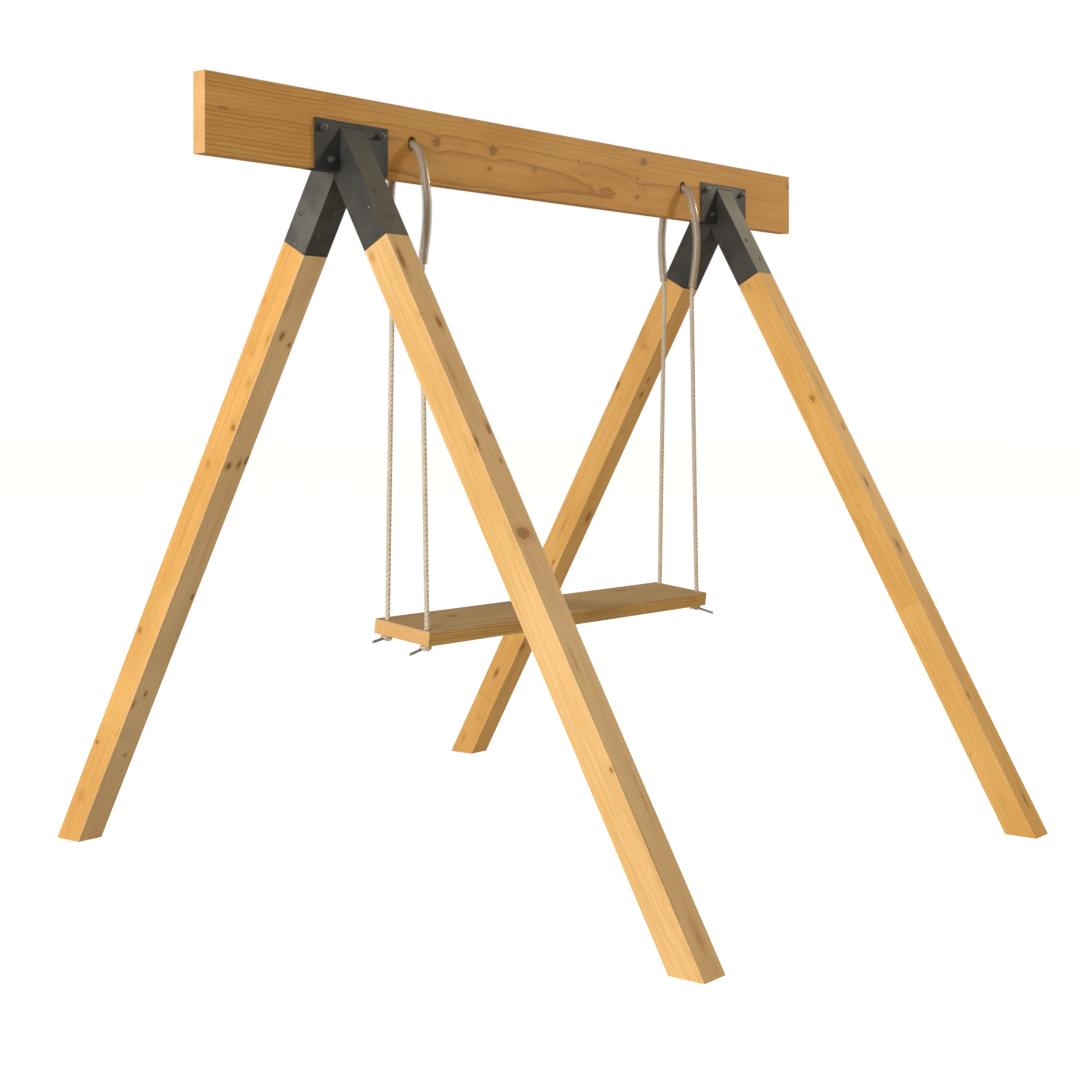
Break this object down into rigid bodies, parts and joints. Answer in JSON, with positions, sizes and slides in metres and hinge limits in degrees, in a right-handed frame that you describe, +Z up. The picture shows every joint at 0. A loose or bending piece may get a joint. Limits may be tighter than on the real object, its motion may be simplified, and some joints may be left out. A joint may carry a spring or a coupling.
{
  "type": "swing set",
  "caption": "Timber garden swing: a plank beam on two A-frames of square posts in steel brackets, with a long board seat hung on ropes that run through the beam.",
  "frame": {"origin": "on the ground, below the middle of the beam", "axes": "+X along the beam towards its right end as seen from the front, +Y towards the rear, +Z up; the front is -Y"},
  "size_m": [3, 2.532, 2.307],
  "materials": {
    "beam_wood": "planed softwood with a honey-coloured oil stain",
    "post_wood": "planed softwood posts, finger-jointed, with a pale honey stain",
    "seat_wood": "planed softwood board with eased edges",
    "bracket_steel": "satin dark grey-brown coated steel",
    "zinc_fasteners": "dull zinc plate, darkened by weather",
    "pin_steel": "plain steel rod with sawn, eased ends",
    "rope": "three-strand laid rope, pale tan",
    "clear_hose": "clear flexible hose, slightly cloudy"
  },
  "bodies": {
    "frame": {"beam": "beam_wood", "post_front_left": "post_wood", "post_rear_left": "post_wood", "post_front_right": "post_wood", "post_rear_right": "post_wood", "bracket_front_left": "bracket_steel", "bracket_rear_left": "bracket_steel", "bracket_front_right": "bracket_steel", "bracket_rear_right": "bracket_steel", "bracket_bolts_left": "zinc_fasteners", "bracket_bolts_right": "zinc_fasteners", "bolt_washers_left": "zinc_fasteners", "bolt_washers_right": "zinc_fasteners", "bolt_nuts_left": "zinc_fasteners", "bolt_nuts_right": "zinc_fasteners", "post_screws_front_left": "zinc_fasteners", "post_screws_rear_left": "zinc_fasteners", "post_screws_front_right": "zinc_fasteners", "post_screws_rear_right": "zinc_fasteners", "hose_arch_left": "clear_hose", "hose_arch_right": "clear_hose", "rope_bridge_left": "rope", "rope_bridge_right": "rope"},
    "front_ropes": {"rope_front_left": "rope", "rope_front_right": "rope", "hose_tail_front_left": "clear_hose", "hose_tail_front_right": "clear_hose"},
    "rear_ropes": {"rope_rear_left": "rope", "rope_rear_right": "rope", "hose_tail_rear_left": "clear_hose", "hose_tail_rear_right": "clear_hose"},
    "seat": {"seat_board": "seat_wood", "rope_knot_front_left": "rope", "rope_knot_rear_left": "rope", "rope_knot_front_right": "rope", "rope_knot_rear_right": "rope", "toggle_pin_front_left": "pin_steel", "toggle_pin_rear_left": "pin_steel", "toggle_pin_front_right": "pin_steel", "toggle_pin_rear_right": "pin_steel"}
  },
  "joints": [
    {"name": "swing", "type": "hinge", "parent": "frame", "child": "front_ropes", "pos_m": [0.04, -0.081, 2], "axis": [1, 0, 0], "range_deg": [-35, 35]},
    {"name": "rear_swing", "type": "hinge", "parent": "frame", "child": "rear_ropes", "pos_m": [0.04, 0.0705, 2], "axis": [1, 0, 0], "range_deg": [-35.6, 35.6]},
    {"name": "seat_level", "type": "hinge", "parent": "front_ropes", "child": "seat", "pos_m": [0.04, -0.07982, 0.75592], "axis": [1, 0, 0], "range_deg": [-34, 34]}
  ],
  "couplings": [
    {"joint": "rear_swing", "follows": "swing", "ratio": 1.0136},
    {"joint": "seat_level", "follows": "swing", "ratio": -0.9475}
  ]
}
